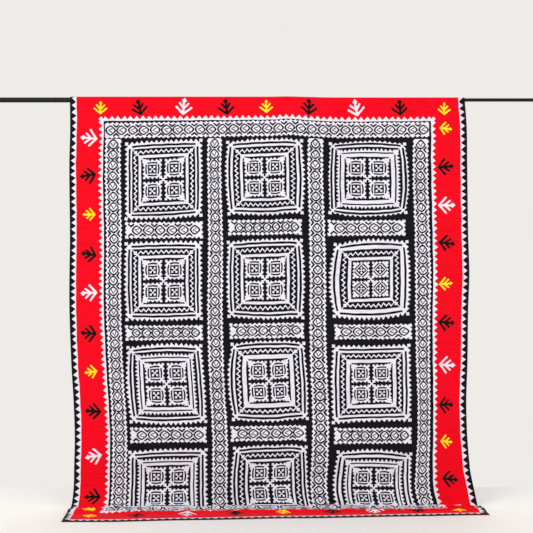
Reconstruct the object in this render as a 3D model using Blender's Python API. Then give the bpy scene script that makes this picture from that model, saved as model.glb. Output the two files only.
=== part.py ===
# Ralli quilt on a hanging rod.
# A cutwork quilt hangs face on over a thin telescopic rod, and its lower end sweeps forward
# and lies on the floor. The quilt is cut flat here as two layers, the face with its filling
# and the plain backing, and each layer is then laid over the rod, down and along the floor.
# Units are metres, +Z is up, the quilt's face looks towards -Y and X runs along the rod.

import math

import bmesh
import bpy
from mathutils import Vector

MM = 0.001

# Rod: a thick tube on the left, a thin one sliding in it on the right
ROD_HEIGHT = 2.268
ROD_HALF_LENGTH = 1.560
THICK_TUBE_RADIUS = 14.0 * MM
THIN_TUBE_RADIUS = 9.5 * MM
TUBE_JOIN_X = 0.12
SOCKET_DEPTH = 0.18
TUBE_SIDES = 24
TUBE_CHAMFER = 1.0 * MM
PIECE_GAP = 0.3 * MM

# Quilt layers, measured out from the backing's underside. The backing shows past the face's front hem.
BACKING_THICKNESS = 1.2 * MM
FACE_THICKNESS = 2.8 * MM
LAYER_GAP = 0.36 * MM
ROD_CLEARANCE = 0.55 * MM
JOIN_CLEARANCE = 2.0 * MM
JOIN_CLEARANCE_REACH = 0.06
JOIN_EASE = 0.30
HEM_SHOW = 4.0 * MM

# Fold behind the rod: its free length at the quilt's left and right edge
FLAP_LEFT = 0.030
FLAP_RIGHT = 0.047

# Side edges of the hanging part: height, left x, right x
SIDE_EDGES = (
    (0.200, -1.0710, 1.1350),
    (0.400, -1.0670, 1.1190),
    (0.600, -1.0740, 1.1145),
    (0.800, -1.0860, 1.1210),
    (1.100, -1.0965, 1.1250),
    (1.300, -1.0965, 1.1315),
    (1.500, -1.0940, 1.1250),
    (1.900, -1.0980, 1.1190),
    (2.100, -1.0935, 1.1165),
    (2.268, -1.0950, 1.1050),
)

# Side edges below that: place, left x, right x. The place is 0 where the sweep starts,
# 1 at its foot on the floor and 2 at the front hem.
FLOOR_EDGES = (
    (0.0, -1.0710, 1.1350),
    (0.5, -1.0735, 1.1630),
    (1.0, -1.0765, 1.1745),
    (1.4, -1.0800, 1.1950),
    (2.0, -1.0735, 1.2000),
)

# Sections across the quilt, from its left edge (0) to its right edge (1): place, reach of the sweep,
# height where it starts, reach of the front hem, then width and height of the first and second ridge
SECTIONS = (
    (0.00, 0.115, 0.165, 0.370, 0.050, 0.008, 0.040, 0.003),
    (0.12, 0.100, 0.160, 0.366, 0.056, 0.018, 0.044, 0.007),
    (0.24, 0.114, 0.170, 0.342, 0.050, 0.012, 0.046, 0.009),
    (0.36, 0.090, 0.166, 0.320, 0.054, 0.019, 0.038, 0.005),
    (0.50, 0.098, 0.172, 0.303, 0.048, 0.013, 0.042, 0.008),
    (0.64, 0.074, 0.178, 0.275, 0.054, 0.019, 0.034, 0.005),
    (0.78, 0.080, 0.184, 0.243, 0.046, 0.013, 0.036, 0.006),
    (0.90, 0.060, 0.194, 0.230, 0.048, 0.016, 0.032, 0.003),
    (1.00, 0.055, 0.205, 0.218, 0.042, 0.008, 0.030, 0.002),
)

# Slow waves of the hanging part: waves across the width, lean with height, offset, depth
HANGING_WAVES = (
    (1.45, 0.35, 0.60, 6.0 * MM),
    (2.70, -0.50, 2.10, 4.0 * MM),
    (4.30, 0.25, 4.00, 2.5 * MM),
)

# Rows of the cloth's net in each stretch, and its columns
FLAP_ROWS = 1
WRAP_ROWS = 9
HANG_ROWS = 8
SWEEP_ROWS = 7
RIDGE_ROWS = 5
FLOOR_ROWS = 2
COLUMNS = 36

# Finishes: base colour, roughness, metallic
FACE_FINISH = ((0.020, 0.020, 0.026, 1.0), 0.90, 0.0)
BACKING_FINISH = ((0.130, 0.006, 0.014, 1.0), 0.92, 0.0)
ROD_FINISH = ((0.012, 0.012, 0.014, 1.0), 0.35, 0.6)


def clear_scene():
    for old in list(bpy.data.objects):
        bpy.data.objects.remove(old, do_unlink=True)


def make_material(name, finish):
    colour, roughness, metallic = finish
    material = bpy.data.materials.new(name)
    material.use_nodes = True
    shader = material.node_tree.nodes["Principled BSDF"]
    shader.inputs["Base Color"].default_value = colour
    shader.inputs["Roughness"].default_value = roughness
    shader.inputs["Metallic"].default_value = metallic
    material.diffuse_color = colour
    return material


def ease(t):
    """A smooth step from 0 to 1."""
    t = min(max(t, 0.0), 1.0)
    return t * t * (3.0 - 2.0 * t)


def slope_at(table, index, column):
    """Slope of a table's column at one of its rows."""
    low = table[max(index - 1, 0)]
    high = table[min(index + 1, len(table) - 1)]
    return (high[column] - low[column]) / (high[0] - low[0])


def read_table(table, place):
    """The values of a table at a place, on smooth curves through its rows. Its first column is the place."""
    place = min(max(place, table[0][0]), table[-1][0])
    index = 0
    while place > table[index + 1][0]:
        index += 1
    low, high = table[index], table[index + 1]
    span = high[0] - low[0]
    t = (place - low[0]) / span
    values = []
    for column in range(1, len(low)):
        bend_low = slope_at(table, index, column) * span * t * (1.0 - t) ** 2
        bend_high = slope_at(table, index + 1, column) * span * t * t * (1.0 - t)
        values.append(low[column] + (high[column] - low[column]) * ease(t) + bend_low - bend_high)
    return values


def wrap_radius(x):
    """Radius of the backing's underside where it goes over the rod."""
    narrowing = (THICK_TUBE_RADIUS - THIN_TUBE_RADIUS) * ease((x - TUBE_JOIN_X) / JOIN_EASE)
    lift = (JOIN_CLEARANCE - ROD_CLEARANCE) * math.exp(-((x - TUBE_JOIN_X) / JOIN_CLEARANCE_REACH) ** 2)
    return THICK_TUBE_RADIUS - narrowing + ROD_CLEARANCE + lift


def hanging_wave(across, height):
    """How far the hanging part stands forward of the rod's plane, none at the rod."""
    total = 0.0
    for waves, lean, offset, depth in HANGING_WAVES:
        total += depth * math.sin(math.tau * waves * across + lean * height + offset)
    drop = 1.0 - height / ROD_HEIGHT
    return total * ease(drop * 1.6)


def across_to_x(across, edges):
    left, right = edges
    return left + (right - left) * across


def flap_point(across, t):
    """Behind the rod, from the back hem up to the rod's axis height."""
    x = across_to_x(across, SIDE_EDGES[-1][1:])
    flap = FLAP_LEFT + (FLAP_RIGHT - FLAP_LEFT) * across
    return Vector((x, wrap_radius(x), ROD_HEIGHT - flap * (1.0 - t)))


def wrap_point(across, t):
    """Over the rod, from its back to its front."""
    x = across_to_x(across, SIDE_EDGES[-1][1:])
    radius = wrap_radius(x)
    angle = math.pi * t
    return Vector((x, radius * math.cos(angle), ROD_HEIGHT + radius * math.sin(angle)))


def hang_point(across, t):
    """Straight down from the rod to where the sweep starts."""
    sweep_height = read_table(SECTIONS, across)[1]
    height = ROD_HEIGHT + (sweep_height - ROD_HEIGHT) * t
    x_top = across_to_x(across, SIDE_EDGES[-1][1:])
    x = across_to_x(across, read_table(SIDE_EDGES, height))
    return Vector((x, -wrap_radius(x_top) - hanging_wave(across, height), height))


def floor_x(across, place):
    return across_to_x(across, read_table(FLOOR_EDGES, place))


def sweep_point(across, t):
    """A quarter of an ellipse from the hanging part down to the floor."""
    reach, height = read_table(SECTIONS, across)[:2]
    start = hang_point(across, 1.0)
    angle = 0.5 * math.pi * t
    forward = reach * (1.0 - math.cos(angle))
    return Vector((floor_x(across, t), start.y - forward, height * (1.0 - math.sin(angle))))


def forward_point(across, forward, lift):
    """A point in front of the foot, placed by its distance forward of the hanging part."""
    reach, height, hem = read_table(SECTIONS, across)[:3]
    place = 1.0 + (forward - reach) / (hem - reach)
    return Vector((floor_x(across, place), hang_point(across, 1.0).y - forward, lift))


def first_ridge_point(across, t):
    """The ridge that the cloth's slack makes just in front of the foot."""
    reach, height, hem, width, ridge = read_table(SECTIONS, across)[:5]
    return forward_point(across, reach + width * t, ridge * 0.5 * (1.0 - math.cos(math.tau * t)))


def second_ridge_point(across, t):
    """A lower ridge in front of the first."""
    reach, height, hem, first_width, first, width, ridge = read_table(SECTIONS, across)
    forward = reach + first_width + width * t
    return forward_point(across, forward, ridge * 0.5 * (1.0 - math.cos(math.tau * t)))


def floor_point(across, t):
    """Flat on the floor to the front hem."""
    reach, height, hem, first_width, first, second_width, second = read_table(SECTIONS, across)
    start = reach + first_width + second_width
    return forward_point(across, start + (hem - start) * t, 0.0)


STRETCHES = (
    (flap_point, FLAP_ROWS),
    (wrap_point, WRAP_ROWS),
    (hang_point, HANG_ROWS),
    (sweep_point, SWEEP_ROWS),
    (first_ridge_point, RIDGE_ROWS),
    (second_ridge_point, RIDGE_ROWS),
    (floor_point, FLOOR_ROWS),
)
TOTAL_ROWS = sum(rows for point, rows in STRETCHES)


def underside_point(across, row):
    """A point of the backing's underside, at a row that may be a fraction."""
    for point, rows in STRETCHES:
        if row <= rows or point is floor_point:
            return point(across, row / rows)
        row -= rows
    return None


def drape(across, row, out):
    """A point that lies out from the underside, along the cloth's normal."""
    step_across = 0.002
    step_row = 0.02
    left = underside_point(max(across - step_across, 0.0), row)
    right = underside_point(min(across + step_across, 1.0), row)
    above = underside_point(across, max(row - step_row, 0.0))
    below = underside_point(across, min(row + step_row, TOTAL_ROWS))
    normal = (below - above).cross(right - left).normalized()
    return underside_point(across, row) + normal * out


def cut_layer(name, inner, outer, hem_inset, finish):
    """One layer of the quilt: a flat net with thickness, then draped point by point."""
    net = bmesh.new()
    bmesh.ops.create_grid(net, x_segments=COLUMNS, y_segments=TOTAL_ROWS, size=1.0)
    bmesh.ops.triangulate(net, faces=net.faces[:], quad_method="FIXED")
    raised = bmesh.ops.extrude_face_region(net, geom=net.faces[:], use_keep_orig=True)
    for item in raised["geom"]:
        if isinstance(item, bmesh.types.BMVert):
            item.co.z = 1.0
    bmesh.ops.recalc_face_normals(net, faces=net.faces[:])
    for vert in net.verts:
        across = 0.5 * (vert.co.x + 1.0)
        row = round(0.5 * (1.0 - vert.co.y) * TOTAL_ROWS)
        out = outer if vert.co.z > 0.5 else inner
        vert.co = drape(across, row, out)
        if row == TOTAL_ROWS:
            vert.co.y += hem_inset
    bmesh.ops.recalc_face_normals(net, faces=net.faces[:])
    mesh = bpy.data.meshes.new(name)
    net.to_mesh(mesh)
    net.free()
    mesh.shade_smooth()
    mesh.set_sharp_from_angle(angle=math.radians(40.0))
    layer = bpy.data.objects.new(name, mesh)
    bpy.context.scene.collection.objects.link(layer)
    mesh.materials.append(make_material(name, finish))
    return layer


def turn_tube(name, outline, finish):
    """A turned piece along X, from an outline of (x, radius) points that starts and ends on the axis."""
    turned = bmesh.new()
    verts = [turned.verts.new((x, 0.0, radius)) for x, radius in outline]
    edges = [turned.edges.new(pair) for pair in zip(verts, verts[1:])]
    bmesh.ops.spin(
        turned,
        geom=verts + edges,
        cent=(0.0, 0.0, 0.0),
        axis=(1.0, 0.0, 0.0),
        angle=math.tau,
        steps=TUBE_SIDES,
        use_merge=True,
    )
    bmesh.ops.remove_doubles(turned, verts=turned.verts[:], dist=0.00001)
    bmesh.ops.recalc_face_normals(turned, faces=turned.faces[:])
    mesh = bpy.data.meshes.new(name)
    turned.to_mesh(mesh)
    turned.free()
    mesh.shade_smooth()
    mesh.set_sharp_from_angle(angle=math.radians(30.0))
    tube = bpy.data.objects.new(name, mesh)
    bpy.context.scene.collection.objects.link(tube)
    tube.location = (0.0, 0.0, ROD_HEIGHT)
    mesh.materials.append(make_material(name, finish))
    return tube


def make_thick_tube():
    """The left tube, with the socket that the thin one slides in."""
    end = -ROD_HALF_LENGTH
    mouth = TUBE_JOIN_X
    radius = THICK_TUBE_RADIUS
    bore = THIN_TUBE_RADIUS + PIECE_GAP
    outline = (
        (end, 0.0),
        (end, radius - TUBE_CHAMFER),
        (end + TUBE_CHAMFER, radius),
        (mouth - TUBE_CHAMFER, radius),
        (mouth, radius - TUBE_CHAMFER),
        (mouth, bore),
        (mouth - SOCKET_DEPTH, bore),
        (mouth - SOCKET_DEPTH, 0.0),
    )
    return turn_tube("rod_thick_tube", outline, ROD_FINISH)


def make_thin_tube():
    """The right tube, its inner end standing in the socket."""
    start = TUBE_JOIN_X - SOCKET_DEPTH + PIECE_GAP
    end = ROD_HALF_LENGTH
    radius = THIN_TUBE_RADIUS
    outline = (
        (start, 0.0),
        (start, radius),
        (end - TUBE_CHAMFER, radius),
        (end, radius - TUBE_CHAMFER),
        (end, 0.0),
    )
    return turn_tube("rod_thin_tube", outline, ROD_FINISH)


def centre_front_to_back(pieces):
    """Move every piece so that the whole is centred on the origin from front to back."""
    bpy.context.view_layer.update()
    depths = []
    for piece in pieces:
        for vert in piece.data.vertices:
            depths.append((piece.matrix_world @ vert.co).y)
    shift = -0.5 * (min(depths) + max(depths))
    for piece in pieces:
        piece.location.y += shift


def main():
    clear_scene()
    face_start = BACKING_THICKNESS + LAYER_GAP
    pieces = [
        cut_layer("quilt_backing", 0.0, BACKING_THICKNESS, 0.0, BACKING_FINISH),
        cut_layer("quilt_face", face_start, face_start + FACE_THICKNESS, HEM_SHOW, FACE_FINISH),
        make_thick_tube(),
        make_thin_tube(),
    ]
    centre_front_to_back(pieces)


main()
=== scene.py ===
# %% [markdown]
# # A cutwork ralli quilt on a hanging rod
# A ralli is a quilt of three layers: a plain backing, a thin filling and a face. On this one the
# face is black cotton. White cotton is folded, cut like a paper snowflake and hemmed down on it,
# and a red border with small leaf shapes goes round the whole. The quilt hangs over a thin rod,
# reaches the floor and sweeps forward along it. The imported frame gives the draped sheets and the
# rod, and this script dresses them.

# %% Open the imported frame
import math

import bpy
import numpy as np
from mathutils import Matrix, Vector
from mathutils.geometry import delaunay_2d_cdt


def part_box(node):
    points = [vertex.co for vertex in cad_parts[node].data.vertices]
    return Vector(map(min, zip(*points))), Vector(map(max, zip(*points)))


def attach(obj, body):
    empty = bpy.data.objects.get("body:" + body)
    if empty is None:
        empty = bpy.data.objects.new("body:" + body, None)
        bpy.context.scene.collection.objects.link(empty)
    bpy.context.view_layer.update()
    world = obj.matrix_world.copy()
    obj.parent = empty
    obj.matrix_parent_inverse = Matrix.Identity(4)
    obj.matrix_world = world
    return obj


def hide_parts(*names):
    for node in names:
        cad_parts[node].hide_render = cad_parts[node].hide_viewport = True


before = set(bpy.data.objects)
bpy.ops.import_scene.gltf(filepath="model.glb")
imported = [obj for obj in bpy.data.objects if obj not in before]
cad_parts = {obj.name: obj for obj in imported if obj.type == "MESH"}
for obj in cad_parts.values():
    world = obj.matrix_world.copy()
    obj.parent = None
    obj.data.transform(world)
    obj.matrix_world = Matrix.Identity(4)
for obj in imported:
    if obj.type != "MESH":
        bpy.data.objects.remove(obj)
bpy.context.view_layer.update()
bpy.ops.object.select_all(action="DESELECT")
MM = 0.001
print("frame nodes:", ", ".join(sorted(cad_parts)))

# %% [markdown]
# The camera stands level in front of the quilt's middle. Its height and distance follow from how
# the bands of the hem shrink on the floor, so the hanging part shows 5.57 mm in each pixel of a
# 533 pixel wide picture.

# %% Set up the camera
PICTURE_SIZE = 533
PIXEL = 5.57 * MM
LENS = 75.0
SENSOR = 36.0
CAMERA_HEIGHT = 1.338
HANGING_DEPTH = 16.5 * MM

rod_low, rod_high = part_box("rod_thick_tube")
ROD_Y = 0.5 * (rod_low[1] + rod_high[1])
camera_distance = LENS / SENSOR * PICTURE_SIZE * PIXEL
camera_y = ROD_Y - HANGING_DEPTH - camera_distance
bpy.ops.object.camera_add(location=(0.0, camera_y, CAMERA_HEIGHT), rotation=(0.5 * math.pi, 0.0, 0.0))
camera = bpy.context.object
camera.name = "camera"
camera.data.lens = LENS
camera.data.sensor_width = SENSOR
camera.data.clip_end = 60.0
bpy.context.scene.camera = camera
print("camera distance:", round(camera_distance, 3))

# %% [markdown]
# A pale floor, a pale world and three wide soft lights make an even studio. Colours are shown
# without a film curve, so that the red stays as strong as the dyed cotton.

# %% Light the studio
scene = bpy.context.scene
scene.view_settings.view_transform = "Standard"
scene.view_settings.look = "None"
scene.view_settings.exposure = 0.0

WORLD_COLOUR = (0.86, 0.838, 0.808, 1.0)
WORLD_STRENGTH = 1.0
world = bpy.data.worlds.new("studio_world")
world.use_nodes = True
world.node_tree.nodes["Background"].inputs["Color"].default_value = WORLD_COLOUR
world.node_tree.nodes["Background"].inputs["Strength"].default_value = WORLD_STRENGTH
scene.world = world

LIGHTS = (  # name, place, point it looks at, side length, power
    ("key_light", (-3.0, -4.6, 3.9), (0.0, 0.1, 1.2), 2.6, 135.0),
    ("fill_light", (3.4, -4.4, 2.2), (0.0, 0.1, 1.0), 3.0, 45.0),
    ("back_light", (0.6, 4.2, 3.6), (0.0, 0.1, 1.2), 3.0, 40.0),
)
for name, place, target, side, power in LIGHTS:
    bpy.ops.object.light_add(type="AREA", location=place)
    lamp = bpy.context.object
    lamp.name = name
    lamp.data.size = side
    lamp.data.energy = power
    lamp.rotation_euler = (Vector(target) - Vector(place)).to_track_quat("-Z", "Y").to_euler()
    lamp.select_set(False)
print("lights:", len(LIGHTS))

# %% [markdown]
# Shader maths is written as plain expressions. A small class wraps a socket, and adding or
# multiplying two of them adds the Math node that does it.


# %% A small class for shader maths
class Value:
    """A socket of a material's nodes, or a number, that can be used in sums."""

    def __init__(self, tree, socket):
        self.tree = tree
        self.socket = socket

    def node(self, kind, inputs=(), output=0, **settings):
        """Add any node: its settings first, then the values or links of its sockets."""
        made = self.tree.nodes.new(kind)
        for name, setting in settings.items():
            setattr(made, name, setting)
        for name, value in dict(inputs).items():
            if isinstance(value, Value):
                self.tree.links.new(value.socket, made.inputs[name])
            else:
                made.inputs[name].default_value = value
        return Value(self.tree, made.outputs[output])

    def math(self, operation, *values):
        return self.node("ShaderNodeMath", dict(enumerate((self,) + values)), operation=operation)

    def __add__(self, other):
        return self.math("ADD", other)

    __radd__ = __add__

    def __mul__(self, other):
        return self.math("MULTIPLY", other)

    __rmul__ = __mul__

    def __sub__(self, other):
        return self.math("SUBTRACT", other)

    def __rsub__(self, other):
        return (self * -1.0) + other

    def between(self, low, high):
        """A smooth step: 0 below low and 1 above high."""
        inputs = {"Value": self, "From Min": low, "From Max": high}
        return self.node("ShaderNodeMapRange", inputs, interpolation_type="SMOOTHSTEP")

    def colours(self, first, second):
        """Mix two colours by this value."""
        inputs = {"Factor": self, 6: first, 7: second}
        return self.node("ShaderNodeMix", inputs, output=2, data_type="RGBA")


def colour(code):
    """A shader colour from a red, green and blue of 0 to 255 as a screen shows them."""
    parts = []
    for part in code:
        share = part / 255.0
        parts.append(share / 12.92 if share <= 0.04045 else ((share + 0.055) / 1.055) ** 2.4)
    return (*parts, 1.0)


print("red cotton in the shader:", [round(x, 3) for x in colour((232, 4, 32))])

# %% [markdown]
# All the cotton is made by one recipe. A UV map holds each point's place on the flat cloth in metres, so the
# threads and the quilting rows follow the folds. The recipe adds a plain weave, the rows of small running
# stitches that hold the three layers together, the soft swell between the rows, and an uneven dye. The
# furrows between the swells are also darkened in the colour as painted shade, and the colour is a little
# darker at the stitches.

# %% Make the cottons
THREAD = 0.9 * MM
STITCH_ROW = 11.0 * MM
STITCH_LENGTH = 7.0 * MM


def make_cotton(name, deep, light, swell=0.55, streaks=0.5, shine=0.10, roughness=0.92):
    """Quilted cotton whose colour varies from a deep to a light colour with its dye, and is darkened in the
    furrows between the quilted swells as painted shade.
    """
    material = bpy.data.materials.new(name)
    material.use_nodes = True
    tree = material.node_tree
    shader = tree.nodes["Principled BSDF"]
    flat = Value(tree, tree.nodes.new("ShaderNodeUVMap").outputs["UV"])
    flat.socket.node.uv_map = "flat_cloth"
    split = flat.node("ShaderNodeSeparateXYZ", {"Vector": flat})
    across = split
    along = Value(tree, split.socket.node.outputs["Y"])

    drift = flat.node("ShaderNodeTexNoise", {"Vector": flat, "Scale": 9.0, "Detail": 2.0})
    row_place = (along + drift * (14.0 * MM)) * (1.0 / STITCH_ROW)
    in_row = row_place.math("FRACT")
    from_row = (in_row - 0.5).math("ABSOLUTE")
    furrow_and_painted_shade = from_row.between(0.5, 0.30)
    stitch_place = across * (1.0 / STITCH_LENGTH) + row_place.math("FLOOR") * 0.37
    stitch = (stitch_place.math("FRACT") - 0.5).math("ABSOLUTE").between(0.30, 0.22)
    stitched = from_row.between(0.44, 0.47) * stitch

    warp = (across * (math.pi / THREAD)).math("SINE")
    weft = (along * (math.pi / THREAD)).math("SINE")
    weave = warp * weft

    stretched = flat.node("ShaderNodeMapping", {"Vector": flat, "Scale": (7.0, 90.0, 1.0)})
    streak = flat.node("ShaderNodeTexNoise", {"Vector": stretched, "Scale": 1.0, "Detail": 3.0})
    cloudy = flat.node("ShaderNodeTexNoise", {"Vector": flat, "Scale": 5.0, "Detail": 4.0})
    fine = flat.node("ShaderNodeTexNoise", {"Vector": flat, "Scale": 260.0, "Detail": 2.0})
    tone = streak * streaks + cloudy * (0.75 - 0.5 * streaks) + fine * 0.25
    # Painted shade: the furrows between the quilted swells are darkened in the colour, and the colour is a
    # little darker at the stitches.
    dye = tone.between(0.30, 0.72) - stitched * 0.25 - furrow_and_painted_shade * (0.5 * swell)

    height = (1.0 - furrow_and_painted_shade) * swell + weave * 0.06 + streak * 0.5 - stitched * 0.30 + fine * 0.16
    bump = flat.node("ShaderNodeBump", {"Height": height, "Distance": 1.1 * MM, "Strength": 0.55})
    dyed_and_shaded = dye.colours(deep, light)
    worn = dye * -0.08 + roughness
    tree.links.new(dyed_and_shaded.socket, shader.inputs["Base Color"])
    tree.links.new(worn.socket, shader.inputs["Roughness"])
    tree.links.new(bump.socket, shader.inputs["Normal"])
    shader.inputs["Sheen Weight"].default_value = 0.3 * shine
    shader.inputs["Sheen Roughness"].default_value = 0.5
    shader.inputs["Specular IOR Level"].default_value = shine
    material.diffuse_color = light
    return material


BLACK_COTTON = make_cotton("black_cotton", colour((8, 8, 13)), colour((20, 20, 27)))
WHITE_COTTON = make_cotton("white_cotton", colour((202, 199, 213)), colour((233, 231, 241)))
RED_COTTON = make_cotton("red_cotton", colour((205, 0, 18)), colour((242, 0, 30)), swell=0.8, streaks=0.8)
YELLOW_COTTON = make_cotton("yellow_cotton", colour((240, 200, 10)), colour((252, 226, 40)))
LEAF_BLACK = make_cotton("leaf_black_cotton", colour((0, 8, 10)), colour((4, 18, 20)))
MAROON_COTTON = make_cotton("maroon_cotton", colour((92, 8, 28)), colour((122, 18, 42)))
print("red cotton when viewed in Solid mode:", [round(x, 3) for x in RED_COTTON.diffuse_color])

# %% [markdown]
# The cloth keeps the shape of the frame's draped sheets. The tables below say how it hangs: where
# its side edges run, how far it sweeps along the floor, and how high the two floor ridges are. They
# are the same driving sizes that the frame's sheets were made from.

# %% The drape's driving sizes
ROD_HEIGHT = 0.5 * (rod_low[2] + rod_high[2])
THICK_TUBE_RADIUS = 14.0 * MM
THIN_TUBE_RADIUS = 9.5 * MM
TUBE_JOIN_X = 0.12
ROD_CLEARANCE = 0.55 * MM
JOIN_CLEARANCE = 2.0 * MM
JOIN_CLEARANCE_REACH = 0.06
JOIN_EASE = 0.30
FLAP_LEFT = 0.030
FLAP_RIGHT = 0.047

SIDE_EDGES = np.array((  # height, left x, right x
    (0.200, -1.0710, 1.1350),
    (0.400, -1.0670, 1.1190),
    (0.600, -1.0740, 1.1145),
    (0.800, -1.0860, 1.1210),
    (1.100, -1.0965, 1.1250),
    (1.300, -1.0965, 1.1315),
    (1.500, -1.0940, 1.1250),
    (1.900, -1.0980, 1.1190),
    (2.100, -1.0935, 1.1165),
    (2.268, -1.0950, 1.1050),
))

FLOOR_EDGES = np.array((  # place: 0 sweep start, 1 its foot, 2 front hem; left x, right x
    (0.0, -1.0710, 1.1350),
    (0.5, -1.0735, 1.1630),
    (1.0, -1.0765, 1.1745),
    (1.4, -1.0800, 1.1950),
    (2.0, -1.0735, 1.2000),
))

SECTIONS = np.array((  # place across, sweep reach, sweep height, hem reach, width and height of each ridge
    (0.00, 0.115, 0.165, 0.370, 0.050, 0.008, 0.040, 0.003),
    (0.12, 0.100, 0.160, 0.366, 0.056, 0.018, 0.044, 0.007),
    (0.24, 0.114, 0.170, 0.342, 0.050, 0.012, 0.046, 0.009),
    (0.36, 0.090, 0.166, 0.320, 0.054, 0.019, 0.038, 0.005),
    (0.50, 0.098, 0.172, 0.303, 0.048, 0.013, 0.042, 0.008),
    (0.64, 0.074, 0.178, 0.275, 0.054, 0.019, 0.034, 0.005),
    (0.78, 0.080, 0.184, 0.243, 0.046, 0.013, 0.036, 0.006),
    (0.90, 0.060, 0.194, 0.230, 0.048, 0.016, 0.032, 0.003),
    (1.00, 0.055, 0.205, 0.218, 0.042, 0.008, 0.030, 0.002),
))

HANGING_WAVES = (  # waves across the width, lean with height, offset, depth
    (1.45, 0.35, 0.60, 6.0 * MM),
    (2.70, -0.50, 2.10, 4.0 * MM),
    (4.30, 0.25, 4.00, 2.5 * MM),
)
print("sections of the drape:", len(SECTIONS))

# %% [markdown]
# The drape itself is a short list of stretches, from the back hem over the rod and down to the
# front hem. Each one turns a place across the cloth and a place along it into a point. Working on
# whole arrays at once keeps this quick for hundreds of thousands of points.


# %% The drape as functions
def ease(t):
    """A smooth step from 0 to 1."""
    t = np.clip(t, 0.0, 1.0)
    return t * t * (3.0 - 2.0 * t)


def read_table(table, place):
    """The values of a table at many places, on smooth curves through its rows."""
    places = table[:, 0]
    place = np.clip(place, places[0], places[-1])
    low = np.clip(np.searchsorted(places, place) - 1, 0, len(places) - 2)
    after = np.minimum(np.arange(len(places)) + 1, len(places) - 1)
    before = np.maximum(np.arange(len(places)) - 1, 0)
    slopes = (table[after] - table[before]) / (places[after] - places[before])[:, None]
    span = (places[low + 1] - places[low])[:, None]
    t = (place - places[low])[:, None] / span
    rise = table[low + 1] - table[low]
    bend_low = slopes[low] * span * t * (1.0 - t) ** 2
    bend_high = slopes[low + 1] * span * t * t * (1.0 - t)
    return (table[low] + rise * ease(t) + bend_low - bend_high)[:, 1:].T


def between_edges(across, edges):
    return edges[0] + (edges[1] - edges[0]) * across


def top_x(across):
    return between_edges(across, SIDE_EDGES[-1, 1:])


def wrap_radius(x):
    """Radius of the cloth's underside where it goes over the rod."""
    narrowing = (THICK_TUBE_RADIUS - THIN_TUBE_RADIUS) * ease((x - TUBE_JOIN_X) / JOIN_EASE)
    lift = (JOIN_CLEARANCE - ROD_CLEARANCE) * np.exp(-(((x - TUBE_JOIN_X) / JOIN_CLEARANCE_REACH) ** 2))
    return THICK_TUBE_RADIUS - narrowing + ROD_CLEARANCE + lift


def hanging_wave(across, height):
    total = 0.0
    for waves, lean, offset, depth in HANGING_WAVES:
        total = total + depth * np.sin(math.tau * waves * across + lean * height + offset)
    return total * ease((1.0 - height / ROD_HEIGHT) * 1.6)


def flap(across, t):
    x = top_x(across)
    length = FLAP_LEFT + (FLAP_RIGHT - FLAP_LEFT) * across
    return x, wrap_radius(x), ROD_HEIGHT - length * (1.0 - t)


def wrap(across, t):
    x = top_x(across)
    radius = wrap_radius(x)
    return x, radius * np.cos(math.pi * t), ROD_HEIGHT + radius * np.sin(math.pi * t)


def hang(across, t):
    height = ROD_HEIGHT + (read_table(SECTIONS, across)[1] - ROD_HEIGHT) * t
    x = between_edges(across, read_table(SIDE_EDGES, height))
    return x, -wrap_radius(top_x(across)) - hanging_wave(across, height), height


def sweep(across, t):
    reach, height = read_table(SECTIONS, across)[:2]
    angle = 0.5 * math.pi * t
    forward = reach * (1.0 - np.cos(angle))
    x = between_edges(across, read_table(FLOOR_EDGES, t))
    return x, hang(across, np.ones_like(t))[1] - forward, height * (1.0 - np.sin(angle))


def forward_of_foot(across, forward, lift):
    reach, height, hem = read_table(SECTIONS, across)[:3]
    place = 1.0 + (forward - reach) / (hem - reach)
    x = between_edges(across, read_table(FLOOR_EDGES, place))
    return x, hang(across, np.ones_like(forward))[1] - forward, lift


def hump(t):
    return 0.5 * (1.0 - np.cos(math.tau * t))


def first_ridge(across, t):
    reach, height, hem, width, ridge = read_table(SECTIONS, across)[:5]
    return forward_of_foot(across, reach + width * t, ridge * hump(t))


def second_ridge(across, t):
    reach, height, hem, first_width, first, width, ridge = read_table(SECTIONS, across)
    return forward_of_foot(across, reach + first_width + width * t, ridge * hump(t))


def floor_run(across, t):
    reach, height, hem, first_width, first, second_width, second = read_table(SECTIONS, across)
    start = reach + first_width + second_width
    return forward_of_foot(across, start + (hem - start) * t, np.zeros_like(t))


STRETCHES = ((flap, 1), (wrap, 9), (hang, 8), (sweep, 7), (first_ridge, 5), (second_ridge, 5), (floor_run, 2))
STRETCH_ENDS = np.cumsum([rows for stretch, rows in STRETCHES])
TOTAL_ROWS = int(STRETCH_ENDS[-1])
SWEEP_START = int(STRETCH_ENDS[2])
SWEEP_ROWS = STRETCHES[3][1]


def underside(across, row):
    """Points of the cloth's underside, for arrays of places across and rows along."""
    points = np.zeros((len(across), 3))
    which = np.clip(np.searchsorted(STRETCH_ENDS, row), 0, len(STRETCHES) - 1)
    for index, (stretch, rows) in enumerate(STRETCHES):
        here = which == index
        if here.any():
            t = (row[here] - STRETCH_ENDS[index] + rows) / rows
            x, y, z = stretch(across[here], t)
            points[here] = np.stack((x, y + ROD_Y, z), axis=1)
    return points


STEP_ACROSS = 0.002
STEP_ROW = 0.02


def drape(across, row, out):
    """Points that lie out from the underside, along the cloth's normal."""
    left = underside(np.maximum(across - STEP_ACROSS, 0.0), row)
    right = underside(np.minimum(across + STEP_ACROSS, 1.0), row)
    above = underside(across, np.maximum(row - STEP_ROW, 0.0))
    below = underside(across, np.minimum(row + STEP_ROW, TOTAL_ROWS))
    normal = np.cross(below - above, right - left)
    normal /= np.linalg.norm(normal, axis=1)[:, None]
    return underside(across, row) + normal * np.reshape(out, (-1, 1))


print("stretches of the drape:", len(STRETCHES))

# %% [markdown]
# The pattern is drawn on the flat cloth, in metres from its left edge and from its back hem, and
# each drawn point is then laid on the drape. The real cloth hides some of its length in the crease
# at the floor. Here that slack is taken up over a short crumpled zone where the cloth turns forward,
# so the pattern above it hangs true and the bands at the hem keep their width.

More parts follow.
